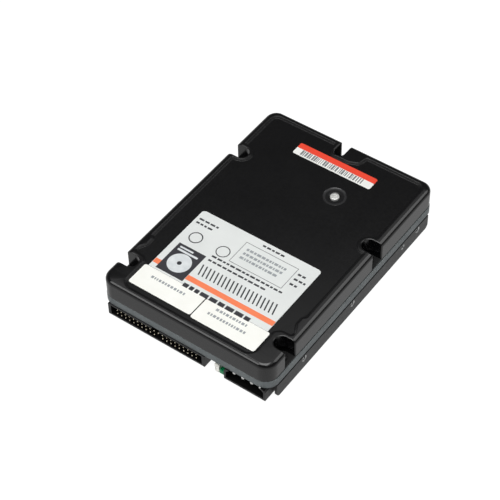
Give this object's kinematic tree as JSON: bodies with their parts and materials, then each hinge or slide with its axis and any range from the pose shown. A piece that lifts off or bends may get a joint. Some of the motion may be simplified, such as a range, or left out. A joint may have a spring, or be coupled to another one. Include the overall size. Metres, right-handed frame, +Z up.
{
  "type": "hard disk drive",
  "caption": "Internal 3.5 inch hard disk drive: cast case and cover, disc pack on a spindle motor, swinging head actuator, circuit board, wide data and round-pin power connectors.",
  "frame": {"origin": "middle of the underside, on the plane of the rails' lower edges", "axes": "+X to the right seen from the connectors, +Y away from the connectors along the length, +Z up through the cover"},
  "size_m": [0.1016, 0.146, 0.0254],
  "materials": {
    "casting_black": "satin",
    "cover_black": "satin",
    "gasket_rubber": "matte",
    "tape_foil": "satin",
    "screw_black": "satin",
    "bright_steel": "satin",
    "label_pale": "matte",
    "sticker_white": "matte",
    "barcode_red": "matte",
    "board_green": "satin",
    "chip_black": "matte",
    "capacitor_ochre": "satin",
    "nylon_cream": "satin",
    "connector_black": "satin",
    "pin_gold": "satin",
    "pin_tin": "satin",
    "shunt_green": "satin",
    "motor_aluminium": "satin",
    "bearing_steel": "polished",
    "core_steel": "satin",
    "coil_copper": "satin",
    "magnet_nickel": "satin",
    "platter_bright": "polished",
    "arm_aluminium": "satin",
    "slider_dark": "satin",
    "coil_plastic": "satin",
    "yoke_nickel": "satin",
    "stop_rubber": "matte",
    "flex_amber": "satin",
    "filter_white": "matte"
  },
  "bodies": {
    "case": {"base_casting": "casting_black", "top_cover": "cover_black", "cover_gasket": "gasket_rubber", "seal_tape": "tape_foil", "cover_screws": "screw_black", "pivot_cover_screw": "bright_steel", "main_label": "label_pale", "front_stickers": "sticker_white", "barcode_label": "barcode_red", "circuit_board": "board_green", "board_screws": "bright_steel", "controller_chip": "chip_black", "processor_chip": "chip_black", "buffer_memory_chip": "chip_black", "spindle_driver_chip": "chip_black", "crystal_can": "bright_steel", "board_capacitors": "capacitor_ochre", "board_connectors": "nylon_cream", "ide_connector_shell": "connector_black", "ide_pins": "pin_gold", "power_connector_shell": "connector_black", "power_pins": "pin_tin", "jumper_header": "nylon_cream", "jumper_pins": "pin_gold", "motor_flange": "motor_aluminium", "motor_screws": "bright_steel", "bearing_outer_rings": "bearing_steel", "stator_core": "core_steel", "stator_coils": "coil_copper", "pivot_shaft": "bright_steel", "pivot_inner_rings": "bearing_steel", "lower_yoke_plate": "yoke_nickel", "upper_yoke_plate": "yoke_nickel", "voice_coil_magnets": "magnet_nickel", "yoke_posts": "bright_steel", "crash_stops": "stop_rubber", "flex_cable": "flex_amber", "flex_bracket": "bright_steel", "breather_filter": "filter_white", "recirculation_filter": "filter_white"},
    "disc_pack": {"spindle_shaft": "bright_steel", "bearing_inner_rings": "bearing_steel", "rotor_magnet": "magnet_nickel", "hub": "motor_aluminium", "lower_platter": "platter_bright", "upper_platter": "platter_bright", "platter_spacer": "motor_aluminium", "disc_clamp": "motor_aluminium", "clamp_screws": "bright_steel"},
    "spindle_bearing_balls": {"bearing_balls": "bearing_steel"},
    "actuator": {"pivot_sleeve": "arm_aluminium", "arm_block": "arm_aluminium", "suspensions": "bright_steel", "head_sliders": "slider_dark", "coil_frame": "coil_plastic", "voice_coil": "coil_copper"},
    "pivot_bearing_balls": {"pivot_balls": "bearing_steel"},
    "shunt": {"jumper_shunt": "shunt_green"}
  },
  "joints": [
    {"name": "spindle_spin", "type": "hinge", "parent": "case", "child": "disc_pack", "pos_m": [0, -0.02, 0.0167], "axis": [0, 0, 1], "continuous": true},
    {"name": "spindle_ball_roll", "type": "hinge", "parent": "case", "child": "spindle_bearing_balls", "pos_m": [0, -0.02, 0.014], "axis": [0, 0, 1], "continuous": true},
    {"name": "actuator_swing", "type": "hinge", "parent": "case", "child": "actuator", "pos_m": [0.0126, 0.0377, 0.0185], "axis": [0, 0, -1], "range_deg": [0, 28.6]},
    {"name": "pivot_ball_roll", "type": "hinge", "parent": "case", "child": "pivot_bearing_balls", "pos_m": [0.0126, 0.0377, 0.0185], "axis": [0, 0, -1], "range_deg": [0, 16]},
    {"name": "shunt_pull", "type": "slide", "parent": "case", "child": "shunt", "axis": [0, -1, 0], "range_m": [0, 0.005]}
  ],
  "couplings": [
    {"joint": "spindle_ball_roll", "follows": "spindle_spin", "ratio": 0.4313},
    {"joint": "pivot_ball_roll", "follows": "actuator_swing", "ratio": 0.5577}
  ]
}
